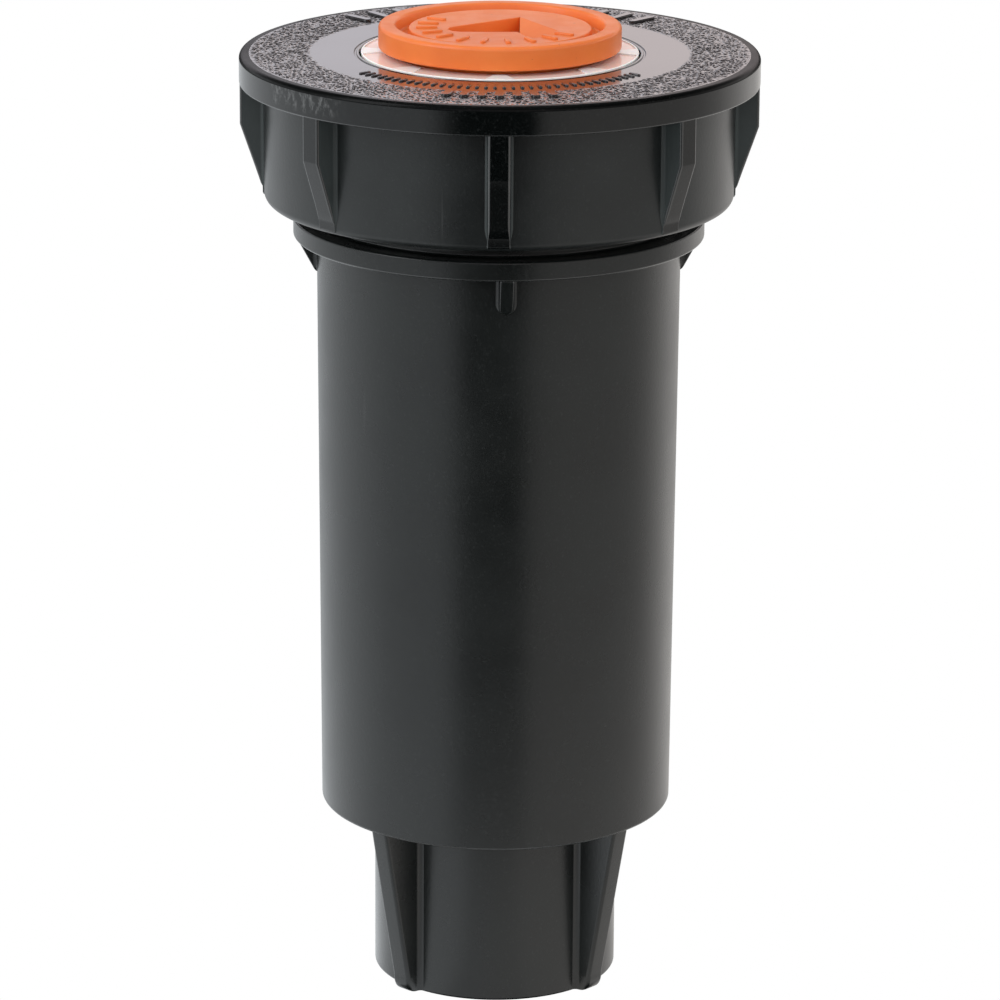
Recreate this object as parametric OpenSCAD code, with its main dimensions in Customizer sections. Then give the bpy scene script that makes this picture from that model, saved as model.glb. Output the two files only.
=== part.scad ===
// Pop up sprinkler: a spray body with a screw-on cap, a sprung riser and a flush plug.
// Millimetres. Z runs up the riser's axis; the origin is the centre of the inlet's end face.

/* [Overall] */
// Height from the inlet's end face to the cap's flat top
total_h = 106.6; // [104:0.2:118]
// How far the riser pops up, which sets how many turns the spring has
travel = 50.8; // [30:0.2:52]

/* [Cap] */
// Diameter of the cap's rim
cap_d = 57.5; // [56.4:0.1:60]
// Thickness of the cap's top plate and rim
plate_t = 3.2; // [2.8:0.1:3.6]
// Diameter of the cap's skirt
skirt_d = 52.1; // [50.6:0.1:52.4]
// Height of the cap, from its skirt's lower edge to its top
cap_h = 16.4; // [15:0.1:17]
// Number of outer ribs on the cap
cap_ribs = 8; // [4:1:12]
// Diameter of the opening in the cap's top
opening_d = 31; // [30.6:0.1:31.4]
// Number of raised bars on each half of the back of the cap's top
cap_bars = 6; // [2:1:8]
// Number of raised bars at the front of the cap's top
front_bars = 7; // [3:2:9]
// Number of small raised dashes round the front of the opening
dashes = 36; // [12:2:40]

/* [Case] */
// Outside diameter of the case at the top of its barrel
case_d = 40.5; // [39.8:0.1:42]
// Outside diameter of the case at the bottom of its barrel
case_low_d = 39.7; // [39.2:0.1:42]
// Inside diameter of the case
chamber_d = 36; // [35.8:0.1:36.6]
// Diameter of the grip flange under the cap
flange_d = 45.7; // [44:0.1:47]
// Number of inner splines that key the ratchet ring
splines = 8; // [4:1:12]

/* [Inlet] */
// Outside diameter of the inlet boss
boss_d = 27.6; // [26.4:0.1:30]
// Height of the inlet boss
boss_h = 20.3; // [18:0.1:22]
// Diameter of the inlet's bore, inside its thread
inlet_d = 18.4; // [18:0.1:18.8]
// Depth of the threaded part of the inlet
inlet_depth = 14; // [12:0.5:15]
// Distance between turns of the inlet's thread
inlet_pitch = 1.814; // [1.6:0.002:2]
// Number of webs on the inlet boss
boss_webs = 4; // [3:1:6]

/* [Cap thread] */
// Distance between turns of the cap's thread
cap_pitch = 3.2; // [3:0.1:3.5]
// Outside diameter of the case's neck, under its thread
neck_d = 42.8; // [42.4:0.1:43]

/* [Riser] */
// Outside diameter of the riser's tube
riser_d = 23.2; // [22.8:0.1:23.6]
// Bore of the riser
riser_bore_d = 18.4; // [18:0.1:19]
// Number of teeth between the riser and the ratchet ring
teeth = 24; // [12:12:24]
// Diameter of the spring's wire
wire_d = 1.3; // [1:0.1:1.4]

/* [Flush plug] */
// Diameter of the plug's disc
plug_d = 26.8; // [25:0.1:27]
// How far the plug stands above the cap
plug_stand = 3.2; // [2.6:0.1:3.6]
// Number of raised bars on the plug's face
plug_bars = 11; // [5:1:14]

/* [Hidden] */
$fn = 96;

// small amount by which cutters and roots run past a face, and the gap between pieces that touch
over = 0.4;
touch = 0.05;

// cap and the levels measured down from its top
cap_top = total_h;
cap_r = cap_d / 2;
cap_edge_r = 1.1;
plate_low = cap_top - plate_t;
skirt_r = skirt_d / 2;
skirt_low = cap_top - cap_h;
skirt_in_r = 23.5;
opening_r = opening_d / 2;
hub_r = opening_r + 2.1;
hub_in_r = opening_r + 0.45;
hub_low = cap_top - 10.2;
lip_depth = 2;
rib_full = 4.8;
rib_low = skirt_low + 0.4;
bar_h = 0.3;
back_bar = 4;
front_bar = 2.5;

// case levels
flange_top = skirt_low - 1.85;
flange_low = flange_top - 2.15;
flange_r = flange_d / 2;
gasket_t = 1.6;
case_top = plate_low - gasket_t;
case_r = case_d / 2;
case_low_r = case_low_d / 2;
chamber_r = chamber_d / 2;
mouth_r = 19.2;
neck_r = neck_d / 2;
relief_r = neck_r - 0.8;
floor_z = boss_h + 2.2;
corner_r = 0.35;
gusset_h = 4.3;

// inlet
inlet_r = inlet_d / 2;
boss_r = boss_d / 2;
inlet_way_r = inlet_r - 0.6;
groove_deep = 0.75;
groove_half = 0.44;

// cap thread: the male ridge on the neck and the female ridge in the skirt
ridge_root = 0.75;
ridge_crest = 0.35;
male_r = neck_r + 1.5;
female_r = skirt_in_r - 1.5;
female_z = skirt_low + 1.4;
male_z = female_z + 1.06;
thread_turns = 2.25;
thread_steps = 24;

// splines and ratchet
spline_high = 0.9;
spline_w = 1.6;
spline_top = flange_low - 0.5;
tooth_h = 0.8;
tooth_w = 3;
tooth_in = riser_d / 2 + 1;
tooth_long = 2.8;

// riser levels
riser_r = riser_d / 2;
riser_bore_r = riser_bore_d / 2;
seat_h = 0.4;
base_seal_t = 1.5;
foot_z = floor_z + seat_h + touch + base_seal_t;
foot_t = 2.85;
foot_r = 15.6;
spigot_r = riser_bore_r + 1.1;
tooth_z = foot_z + foot_t;
ring_z = tooth_z + tooth_h + 0.1;
ring_h = 4.3;
ring_r = chamber_r - 0.15;
ring_bore_r = riser_r + 0.08;
seat_z = ring_z + ring_h;
collar_h = 2;
riser_top = cap_top - 1.2;
shoulder_z = cap_top - 7;
riser_neck_r = riser_r - 1.1;
nozzle_pitch = 1.8;

// spring and washer
washer_t = 1.25;
washer_top = hub_low - touch;
washer_low = washer_top - washer_t;
spring_r = riser_r + 2.7;
spring_len = washer_low - seat_z;
spring_turns = floor((spring_len - travel - 0.5) / wire_d);

// seals
wiper_low = hub_low + touch;
wiper_top = wiper_low + 2.75;
lip_r = riser_r + touch;
ring_low = wiper_top + touch;
ring_top = cap_top - 0.02;
ring_t = 1.3;
ring_wall = 1;
ring_in_r = riser_r + 0.15;
ring_rim_r = opening_r - 0.18;
rim_w = 0.22;
rim_top = cap_top + 0.12;
lug_top = cap_top + 0.12;
lug_out = 3.36;
lug_in = 1.3;

// plug levels
plug_r = plug_d / 2;
plug_top = cap_top + plug_stand;
plug_low = plug_top - 2.65;
plug_rim_r = 11.5;
plug_face_r = 10.05;
plug_face = plug_top - 0.4;
plug_groove = plug_top - 1.5;
plug_spigot_r = riser_bore_r - 0.25;
plug_hollow_r = 6.9;
plug_foot = riser_top - 11.4;
o_ring_z = plug_foot + 3.4;
o_ring_wire = 0.62;
o_ring_r = riser_bore_r - touch - o_ring_wire;

black_plastic = [0.13, 0.14, 0.14];
pale_plastic = [0.93, 0.9, 0.87];
grey_plastic = [0.3, 0.31, 0.32];
rubber = [0.08, 0.08, 0.08];
steel = [0.7, 0.71, 0.73];
orange_plastic = [0.93, 0.42, 0.16];

// Points along an arc in the (radius, height) plane, from angle a0 to angle a1
function arc(cr, cz, r, a0, a1, n = 5) =
    [for (i = [0:n]) let (a = a0 + (a1 - a0) * i / n) [cr + r * cos(a), cz + r * sin(a)]];

// A ring turned from square-cornered limits
module turned(r_in, r_out, low, high) {
    translate([0, 0, low])
        difference() {
            cylinder(r = r_out, h = high - low);
            translate([0, 0, -over])
                cylinder(r = r_in, h = high - low + 2 * over);
        }
}

// A plate standing on the axis: an outline in (radius, height), w thick, at angle a
module web(outline, w, a) {
    rotate([0, 0, a])
        translate([0, w / 2, 0])
            rotate([90, 0, 0])
                linear_extrude(w)
                    polygon(outline);
}

// A helical ridge: a four-sided section swept round the axis, r_in and r_out with half heights
module helix_ridge(r_in, half_in, r_out, half_out, pitch, turns, z0, steps) {
    n = round(turns * steps);
    points = [
        for (i = [0:n])
            let (a = i * 360 / steps, z = z0 + i * pitch / steps)
                each [
                    [r_in * cos(a), r_in * sin(a), z - half_in],
                    [r_out * cos(a), r_out * sin(a), z - half_out],
                    [r_out * cos(a), r_out * sin(a), z + half_out],
                    [r_in * cos(a), r_in * sin(a), z + half_in]
                ]
    ];
    sides = [
        for (i = [0:n - 1], j = [0:3])
            let (p = 4 * i + j, q = 4 * i + (j + 1) % 4)
                each [[p, q, q + 4], [p, q + 4, p + 4]]
    ];
    first = [[3, 2, 1, 0]];
    last = [[4 * n, 4 * n + 1, 4 * n + 2, 4 * n + 3]];
    polyhedron(points, concat(sides, first, last));
}

// Black body: barrel, grip flange, threaded neck, inlet boss and webs
module case() {
    color(black_plastic)
        difference() {
            union() {
                case_shell();
                helix_ridge(neck_r - over, ridge_root, male_r, ridge_crest,
                    cap_pitch, thread_turns, male_z, thread_steps);
                for (i = [0:3])
                    flange_gusset(i * 90 - 87.6);
                for (i = [0:boss_webs - 1])
                    boss_web(47.2 + i * 360 / boss_webs);
                for (i = [0:splines - 1])
                    spline(i * 360 / splines);
            }
            case_bore();
        }
}

// The case turned as one solid shell, without its inlet bore
module case_shell() {
    rotate_extrude()
        polygon(concat(
            [[0, 0], [boss_r - 0.25, 0], [boss_r, 0.25], [boss_r, boss_h - 0.6]],
            arc(boss_r + 0.6, boss_h - 0.6, 0.6, 180, 90, 3),
            arc(case_low_r - corner_r, boss_h + corner_r, corner_r, -90, 0, 3),
            [[case_r, flange_low - 0.5], [case_r + 0.5, flange_low]],
            [[flange_r - 0.3, flange_low], [flange_r, flange_low + 0.3]],
            [[flange_r, flange_top - 0.3], [flange_r - 0.3, flange_top]],
            [[relief_r, flange_top], [relief_r, flange_top + 2.2], [neck_r, flange_top + 2.8]],
            [[neck_r, case_top - 0.6], [neck_r - 0.6, case_top]],
            [[mouth_r + 0.5, case_top], [mouth_r, case_top - 0.5]],
            [[mouth_r, flange_low + 2], [chamber_r, flange_low]],
            [[chamber_r, floor_z], [13, floor_z], [13, floor_z + seat_h]],
            [[11.2, floor_z + seat_h], [11.2, floor_z], [0, floor_z]]
        ));
}

// Everything removed from the middle of the inlet boss
module case_bore() {
    translate([0, 0, -over])
        cylinder(r = inlet_r, h = inlet_depth + over);
    cylinder(r = inlet_way_r, h = floor_z + over);
    translate([0, 0, -0.01])
        cylinder(r1 = inlet_r + groove_deep, r2 = inlet_r, h = groove_deep);
    helix_ridge(inlet_r - 0.6, groove_half + 0.3, inlet_r + groove_deep, 0.08,
        inlet_pitch, (inlet_depth - 3) / inlet_pitch, 0.6, thread_steps);
}

// Gusset between the barrel and the flange: flush with the flange's edge, then straight back to the barrel
module flange_gusset(a) {
    low = flange_low - gusset_h;
    side = [
        [case_r - 0.8, flange_low + over], [flange_r - 0.1, flange_low + over],
        [flange_r - 0.12, flange_low - 0.05], [case_r + 0.1, low + 0.2],
        [case_r - 0.1, low], [case_r - 0.8, low]
    ];
    plan = [
        [case_r - 1, -1.7], [case_r + 0.02, -1.35], [case_r + 0.35, -0.92], [case_r + 0.8, -0.78],
        [flange_r + 1, -0.72], [flange_r + 1, 0.72],
        [case_r + 0.8, 0.78], [case_r + 0.35, 0.92], [case_r + 0.02, 1.35], [case_r - 1, 1.7]
    ];
    front = [
        [-1.8, flange_low + over], [-1.8, low + 1.9], [-1.3, low + 1.05], [-0.9, low + 0.5],
        [-0.5, low + 0.15], [0, low + 0.03], [0.5, low + 0.15], [0.9, low + 0.5],
        [1.3, low + 1.05], [1.8, low + 1.9], [1.8, flange_low + over]
    ];
    intersection() {
        web(side, 5, a);
        rotate([0, 0, a])
            translate([0, 0, low - 1])
                linear_extrude(gusset_h + 3)
                    polygon(plan);
        rotate([0, 0, a])
            rotate([90, 0, 90])
                linear_extrude(flange_r + 2)
                    polygon(front);
    }
}

// Tapered web between the inlet boss and the underside of the barrel, round at its foot
module boss_web(a) {
    side = [
        [boss_r - 0.8, boss_h + over], [case_low_r - 0.5, boss_h + over],
        [boss_r + 2, 2.3], [boss_r + 1.95, 1.5], [boss_r + 1.7, 0.85], [boss_r + 1.3, 0.42],
        [boss_r + 0.8, 0.2], [boss_r + 0.3, 0.15], [boss_r - 0.8, 0.15]
    ];
    plan = [
        [boss_r - 1, -2.1], [boss_r - 0.16, -2.05], [boss_r + 0.05, -1.62], [boss_r + 0.45, -1.32],
        [boss_r + 0.9, -1.22], [case_low_r + 1, -1.22], [case_low_r + 1, 1.22],
        [boss_r + 0.9, 1.22], [boss_r + 0.45, 1.32], [boss_r + 0.05, 1.62], [boss_r - 0.16, 2.05],
        [boss_r - 1, 2.1]
    ];
    intersection() {
        web(side, 6, a);
        rotate([0, 0, a])
            translate([0, 0, -1])
                linear_extrude(boss_h + 3)
                    polygon(plan);
    }
}

// Upright key on the inside of the chamber
module spline(a) {
    rotate([0, 0, a])
        translate([chamber_r - spline_high, -spline_w / 2, floor_z - over])
            cube([spline_high + 0.6, spline_w, spline_top - floor_z + over]);
}

// Black screw-on cap with its hub, skirt, inner thread and outer ribs
module cap() {
    color(black_plastic) {
        cap_shell();
        helix_ridge(female_r, ridge_crest, skirt_in_r + over, ridge_root,
            cap_pitch, thread_turns, female_z, thread_steps);
        for (i = [0:cap_ribs - 1])
            cap_rib(i * 360 / cap_ribs - 90);
        for (i = [0:cap_bars - 1]) {
            cap_bar(48 + i * 7, back_bar);
            cap_bar(132 - i * 7, back_bar);
        }
        for (i = [0:front_bars - 1])
            cap_bar(-90 + (i - (front_bars - 1) / 2) * 4.6, front_bar);
        for (i = [0:dashes - 1])
            cap_dash(-141 + i * 102 / (dashes - 1));
    }
}

// The cap turned as one piece: plate, rim, skirt and hub
module cap_shell() {
    rotate_extrude()
        polygon(concat(
            [[opening_r, cap_top], [cap_r - cap_edge_r, cap_top]],
            arc(cap_r - cap_edge_r, cap_top - cap_edge_r, cap_edge_r, 75, 0, 4),
            [[cap_r, plate_low + 0.3], [cap_r - 0.3, plate_low], [skirt_r, plate_low]],
            [[skirt_r, skirt_low + 0.9]],
            arc(skirt_r - 0.9, skirt_low + 0.9, 0.9, -15, -75, 3),
            [[skirt_r - 1, skirt_low], [skirt_in_r + 0.3, skirt_low], [skirt_in_r, skirt_low + 0.4]],
            [[skirt_in_r, plate_low], [hub_r, plate_low], [hub_r, hub_low]],
            [[hub_in_r, hub_low], [hub_in_r, cap_top - lip_depth], [opening_r, cap_top - lip_depth]]
        ));
}

// Outer rib: flush with the rim, then tapering back to a thin pad at the skirt's lower edge
module cap_rib(a) {
    side = [
        [skirt_r - 0.6, plate_low + 0.5], [cap_r - 0.02, plate_low + 0.5],
        [cap_r - 0.02, plate_low - rib_full], [skirt_r + 0.35, rib_low + 1.3],
        [skirt_r + 0.16, rib_low + 1], [skirt_r + 0.16, rib_low + 0.3],
        [skirt_r - 0.1, rib_low], [skirt_r - 0.6, rib_low]
    ];
    plan = [
        [skirt_r - 1, -2], [skirt_r + 0.05, -1.75], [skirt_r + 0.4, -1.36], [skirt_r + 0.9, -1.24],
        [cap_r + 0.5, -1.18], [cap_r + 0.5, 1.18],
        [skirt_r + 0.9, 1.24], [skirt_r + 0.4, 1.36], [skirt_r + 0.05, 1.75], [skirt_r - 1, 2]
    ];
    intersection() {
        web(side, 5, a);
        rotate([0, 0, a])
            translate([0, 0, rib_low - 1])
                linear_extrude(plate_low - rib_low + 3)
                    polygon(plan);
    }
}

// Plain raised bar of a given length on the textured band of the cap's top
module cap_bar(a, length) {
    rotate([0, 0, a])
        translate([22, -0.5, cap_top - over])
            cube([length, 1, bar_h + over]);
}

// Small raised dash on the smooth part of the cap's top
module cap_dash(a) {
    rotate([0, 0, a])
        translate([18, -0.2, cap_top - over])
            cube([1.5, 0.4, 0.15 + over]);
}

// Pale ring held in the cap's opening: a shallow dish with an upturned rim, walls below and small lugs
module seal_ring() {
    color(pale_plastic) {
        rotate_extrude()
            polygon([
                [ring_in_r, ring_low], [ring_in_r + ring_wall, ring_low],
                [ring_in_r + ring_wall, ring_top - ring_t], [ring_rim_r - 0.5, ring_top - ring_t],
                [ring_rim_r - 0.5, ring_low], [hub_in_r - touch, ring_low],
                [hub_in_r - touch, cap_top - lip_depth - touch],
                [ring_rim_r, cap_top - lip_depth - touch],
                [ring_rim_r, rim_top - 0.05], [ring_rim_r - 0.05, rim_top],
                [ring_rim_r - rim_w, rim_top], [ring_rim_r - rim_w, ring_top],
                [ring_in_r + 0.2, ring_top], [ring_in_r, ring_top - 0.2]
            ]);
        for (i = [0:7])
            ring_lug(i * 45 - 90);
    }
}

// Flat-topped lug that stands in the dish and runs in under the plug
module ring_lug(a) {
    rotate([0, 0, a])
        translate([0, 0, ring_top - over])
            linear_extrude(lug_top - ring_top + over)
                polygon([
                    [12.6, -lug_in / 2], [ring_rim_r - rim_w + 0.1, -lug_out / 2],
                    [ring_rim_r - rim_w + 0.1, lug_out / 2], [12.6, lug_in / 2]
                ]);
}

// Soft cup seal whose inner lip runs on the riser
module wiper_seal() {
    color(rubber)
        rotate_extrude()
            polygon([
                [hub_in_r - touch, wiper_low], [hub_in_r - touch, wiper_top],
                [hub_in_r - 1.9, wiper_top], [hub_in_r - 2.5, wiper_low + 1.2],
                [lip_r + 0.7, wiper_top - 0.3], [lip_r, wiper_top - 0.3],
                [lip_r, wiper_top - 1], [lip_r + 1.3, wiper_low]
            ]);
}

// Flat ring squeezed between the case's top edge and the cap
module cap_gasket() {
    color(rubber)
        turned(mouth_r + 0.2, neck_r - 0.2, case_top + touch, plate_low);
}

// Stiff washer that passes the spring's push to the cap
module spring_washer() {
    color(grey_plastic)
        rotate_extrude()
            polygon([
                [riser_r + 0.6, washer_low], [hub_r - 0.6, washer_low], [hub_r - 0.3, washer_low + 0.3],
                [hub_r - 0.3, washer_top - 0.3], [hub_r - 0.6, washer_top], [riser_r + 0.6, washer_top]
            ]);
}

// Height of the spring's wire after t turns: closed end turns, even pitch between
function coil_z(t) =
    let (open = (spring_len - 3 * wire_d) / (spring_turns - 2))
        seat_z + wire_d / 2 + (t < 1 ? wire_d * t :
            t > spring_turns - 1 ? spring_len - wire_d * (spring_turns - t + 1) :
            wire_d + open * (t - 1));

// Long steel spring with closed ends
module retract_spring() {
    per_turn = 20;
    sides = 6;
    n = spring_turns * per_turn;
    points = [
        for (i = [0:n], j = [0:sides - 1])
            let (a = i * 360 / per_turn, b = j * 360 / sides, r = spring_r + wire_d / 2 * cos(b))
                [r * cos(a), r * sin(a), coil_z(i / per_turn) + wire_d / 2 * sin(b)]
    ];
    skin = [
        for (i = [0:n - 1], j = [0:sides - 1])
            let (p = sides * i + j, q = sides * i + (j + 1) % sides)
                each [[p, q, q + sides], [p, q + sides, p + sides]]
    ];
    first = [[for (j = [0:sides - 1]) sides - 1 - j]];
    last = [[for (j = [0:sides - 1]) sides * n + j]];
    color(steel)
        polyhedron(points, concat(skin, first, last));
}

// Row of face teeth, pointing up from the plane z
module tooth_row(z) {
    for (i = [0:teeth - 1])
        rotate([0, 0, i * 360 / teeth])
            translate([tooth_in, 0, z])
                rotate([90, 0, 90])
                    linear_extrude(tooth_long)
                        polygon([
                            [-tooth_w / 2, 0], [tooth_w / 2, 0], [0, tooth_h],
                            [-tooth_w / 2, 0]
                        ]);
}

// Keyed ring above the riser's foot; its teeth drop between the riser's teeth
module ratchet_ring() {
    color(grey_plastic)
        difference() {
            union() {
                turned(ring_bore_r, ring_r, ring_z, seat_z);
                turned(ring_bore_r, spring_r - wire_d / 2 - 0.2, seat_z - over, seat_z + collar_h);
                translate([0, 0, ring_z + over])
                    mirror([0, 0, 1])
                        rotate([0, 0, 180 / teeth])
                            tooth_row(over);
            }
            for (i = [0:splines - 1])
                rotate([0, 0, i * 360 / splines])
                    translate([chamber_r - spline_high - 0.2, -spline_w / 2 - 0.3, ring_z - 2])
                        cube([4, spline_w + 0.6, ring_h + 4]);
        }
}

// Hollow stem that pops up: foot with teeth, tube and threaded neck
module riser() {
    color(black_plastic)
        difference() {
            union() {
                rotate_extrude()
                    polygon([
                        [riser_bore_r - over, foot_z - 1.2], [spigot_r, foot_z - 1.2], [spigot_r, foot_z],
                        [foot_r - 0.4, foot_z], [foot_r, foot_z + 0.4], [foot_r, tooth_z],
                        [riser_r, tooth_z], [riser_r, shoulder_z - 0.4], [riser_r - 0.4, shoulder_z],
                        [riser_neck_r, shoulder_z], [riser_neck_r, riser_top - 0.3],
                        [riser_neck_r - 0.3, riser_top], [riser_bore_r - over, riser_top]
                    ]);
                helix_ridge(riser_neck_r - 0.3, 0.5, riser_r - 0.25, 0.2,
                    nozzle_pitch, 2.25, shoulder_z + 1, thread_steps);
                tooth_row(tooth_z - 0.01);
            }
            translate([0, 0, foot_z - 2])
                cylinder(r = riser_bore_r, h = riser_top - foot_z + 3);
        }
}

// Soft washer under the riser's foot that closes on the case's seat
module base_seal() {
    color(rubber)
        turned(spigot_r + touch, foot_r - 1.4, foot_z - base_seal_t, foot_z);
}

// Orange plug: disc with rim and groove, arrow-shaped pocket and hollow spigot
module flush_plug() {
    color(orange_plastic) {
        difference() {
            plug_shell();
            pocket();
        }
        for (i = [0:plug_bars - 1])
            plug_bar(150 + i * 180 / (plug_bars - 1));
    }
}

// The plug turned as one piece
module plug_shell() {
    rotate_extrude()
        polygon(concat(
            [[0, plug_low - 1], [plug_hollow_r, plug_low - 1], [plug_hollow_r, plug_foot]],
            [[plug_spigot_r - 0.5, plug_foot], [plug_spigot_r, plug_foot + 0.5]],
            [[plug_spigot_r, o_ring_z - 0.8], [o_ring_r - 0.65, o_ring_z - 0.8]],
            [[o_ring_r - 0.65, o_ring_z + 0.8], [plug_spigot_r, o_ring_z + 0.8]],
            [[plug_spigot_r, riser_top + touch], [riser_neck_r, riser_top + touch]],
            [[riser_neck_r, plug_low], [plug_r - 0.3, plug_low], [plug_r, plug_low + 0.3]],
            arc(plug_r - 0.4, plug_top - 0.4, 0.4, 0, 90, 3),
            arc(plug_rim_r + 0.3, plug_top - 0.3, 0.3, 90, 180, 3),
            [[plug_rim_r - 0.2, plug_groove], [plug_face_r + 0.2, plug_groove]],
            [[plug_face_r, plug_face - 0.2], [plug_face_r - 0.2, plug_face], [0, plug_face]]
        ));
}

// Arrow-shaped pocket: a deep tail and a head whose floor ramps up to the face
module pocket() {
    deep = 1.9;
    tail = [[-4.1, -2.7], [2, -2.65], [2.2, 5.6], [-5.03, 0.09], [-4.1, -1.15]];
    head = [[2, -2.65], [3.3, -6.3], [7.2, -3.5], [2.2, 5.6]];
    translate([0, 0, plug_face - deep])
        linear_extrude(deep + over)
            polygon(tail);
    translate([-4.1, -1.15, plug_face - deep])
        cylinder(r = 1.55, h = deep + over, $fn = 48);
    intersection() {
        translate([0, 0, plug_face - deep])
            linear_extrude(deep + over)
                polygon(head);
        translate([7.2, -3.5, plug_face])
            rotate([0, -24.6, 28.8])
                translate([-12, -6, 0])
                    cube([24, 20, 8]);
    }
}

// Plain raised bar near the edge of the plug's face
module plug_bar(a) {
    rotate([0, 0, a])
        translate([6.9, -0.3, plug_face - over])
            cube([2.4, 0.6, 0.25 + over]);
}

// Soft ring in the spigot's groove
module plug_o_ring() {
    color(rubber)
        rotate_extrude()
            translate([o_ring_r, o_ring_z])
                circle(r = o_ring_wire, $fn = 32);
}

case();
cap();
seal_ring();
wiper_seal();
cap_gasket();
spring_washer();
retract_spring();
ratchet_ring();
riser();
base_seal();
flush_plug();
plug_o_ring();
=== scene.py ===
import math
import bmesh
import bpy
import numpy as np
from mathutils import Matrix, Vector, geometry, noise


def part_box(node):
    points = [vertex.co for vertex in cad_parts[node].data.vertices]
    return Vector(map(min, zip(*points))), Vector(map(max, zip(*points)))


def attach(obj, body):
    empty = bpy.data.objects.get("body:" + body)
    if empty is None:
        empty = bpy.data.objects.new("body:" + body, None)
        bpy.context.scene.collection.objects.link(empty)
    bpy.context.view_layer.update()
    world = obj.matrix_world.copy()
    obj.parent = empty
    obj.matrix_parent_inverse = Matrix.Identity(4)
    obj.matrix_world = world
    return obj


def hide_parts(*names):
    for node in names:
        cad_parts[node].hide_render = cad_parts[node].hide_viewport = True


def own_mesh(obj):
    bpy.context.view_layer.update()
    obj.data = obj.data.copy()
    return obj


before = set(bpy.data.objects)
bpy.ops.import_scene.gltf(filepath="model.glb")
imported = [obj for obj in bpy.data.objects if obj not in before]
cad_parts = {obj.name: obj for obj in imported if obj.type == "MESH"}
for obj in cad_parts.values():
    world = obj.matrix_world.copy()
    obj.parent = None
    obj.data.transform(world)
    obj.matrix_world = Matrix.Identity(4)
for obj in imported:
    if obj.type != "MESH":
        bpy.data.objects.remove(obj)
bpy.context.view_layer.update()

# The looks of a pop up sprinkler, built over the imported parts. Shapes are worked out in millimetres and
# stored in metres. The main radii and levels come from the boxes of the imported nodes; the other
# measures are the CAD model's own.

MM = 0.001
SEGS = 240
FULL_TURN = 2 * math.pi


def node_extent(name):
    """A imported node's outer radius, foot and top."""
    lo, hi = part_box(name)
    return hi[0] / MM, lo[2] / MM, hi[2] / MM


# Cap: the raised bars on its top are the highest thing in its box.
BAR_H = 0.3
CAP_R, SKIRT_LOW, BARS_TOP = node_extent("cap")
CAP_TOP = BARS_TOP - BAR_H
PLATE_LOW = CAP_TOP - 3.2
RIM_ROUND = 1.1
SKIRT_R = 26.05
SKIRT_IN = 23.5
OPEN_R = 15.5
HUB_R = 17.6
HUB_IN = 15.95
HUB_LOW = CAP_TOP - 10.2
BAND_IN = 20.9
BAND_OUT = CAP_R - RIM_ROUND - 0.02
RIB_COUNT = 8
RIB_HALF = 1.2

# Pale ring.
_, RING_LOW, RING_LIP = node_extent("seal_ring")
LUG_COUNT = 8

# Case.
_, _, CASE_TOP = node_extent("case")
FLANGE_R = 22.85
FLANGE_TOP = SKIRT_LOW - 1.85
FLANGE_LOW = FLANGE_TOP - 2.15
BARREL_R = 20.25
BARREL_LOW_R = 19.85
NECK_R = 21.4
RELIEF_R = NECK_R - 0.8
MOUTH_R = 19.2
CHAMBER_R = 18.0
BOSS_R = 13.8
BOSS_H = 20.3
FLOOR_Z = BOSS_H + 2.2
SEAT_OUT = 13.0
SEAT_IN = 11.2
SEAT_TOP = FLOOR_Z + 0.4
INLET_R = 9.2
INLET_DEEP = 14
CHAMFER = 0.75
WAY_R = 8.6
WEB_FIRST = 47.2
WEB_HALF = 1.22
GUSSET_FIRST = -87.6
GUSSET_HALF = 0.74
SPLINE_COUNT = 8

# Threads: the pitch and turns of the cap's thread, the inlet's and the riser neck's.
CAP_PITCH = 3.2
CAP_TURNS = 2.25
CAP_THREAD_LOW = SKIRT_LOW + 1.4
INLET_PITCH = 1.814
INLET_TURNS = 6.0
NECK_PITCH = 1.8
NECK_TURNS = 2.25

# Riser, with its flange at the foot.
_, RISER_LOW, RISER_TOP = node_extent("riser")
RISER_R = 11.6
RISER_BORE = 9.2
RISER_NECK_R = 10.5
RISER_FOOT_R = 10.3
RISER_FLANGE_R = 15.6
FLANGE_FOOT = RISER_LOW + 1.2
TEETH_ROOT = FLANGE_FOOT + 2.85
TEETH = 24
SHOULDER = CAP_TOP - 7

# Spring, between the ratchet ring and the washer.
_, WASHER_LOW, _ = node_extent("spring_washer")
_, _, RATCHET_TOP = node_extent("ratchet_ring")
SPRING_LOW = RATCHET_TOP - 2.0
WIRE = 1.3
COIL_R = 14.3
COILS = 8

# Plug: a disc with a sunk face, and a hollow spigot with a groove for the O-ring.
PLUG_R, SPIGOT_LOW, PLUG_TOP = node_extent("flush_plug")
PLUG_LOW = PLUG_TOP - 2.65
PLUG_FACE = PLUG_TOP - 0.4
FACE_R = 10.05
FACE_EDGE = FACE_R - 0.35
MOAT_FLOOR = PLUG_TOP - 1.5
STEM_R = 10.5
STEM_LOW = RISER_TOP + 0.05
SPIGOT_R = 8.95
HOLLOW_R = 6.9
HOLLOW_TOP = PLUG_LOW - 1
O_GROOVE_R = 7.95
O_GROOVE = (SPIGOT_LOW + 2.6, SPIGOT_LOW + 4.2)


# ---------------------------------------------------------------- materials

BUMP_DEPTH = 0.0001
DUST_AMOUNT = 0.14
DUST = (0.05, 0.054, 0.054)
WORN = (0.04, 0.042, 0.042)
SCUFFED = (0.3, 0.31, 0.31)


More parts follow.
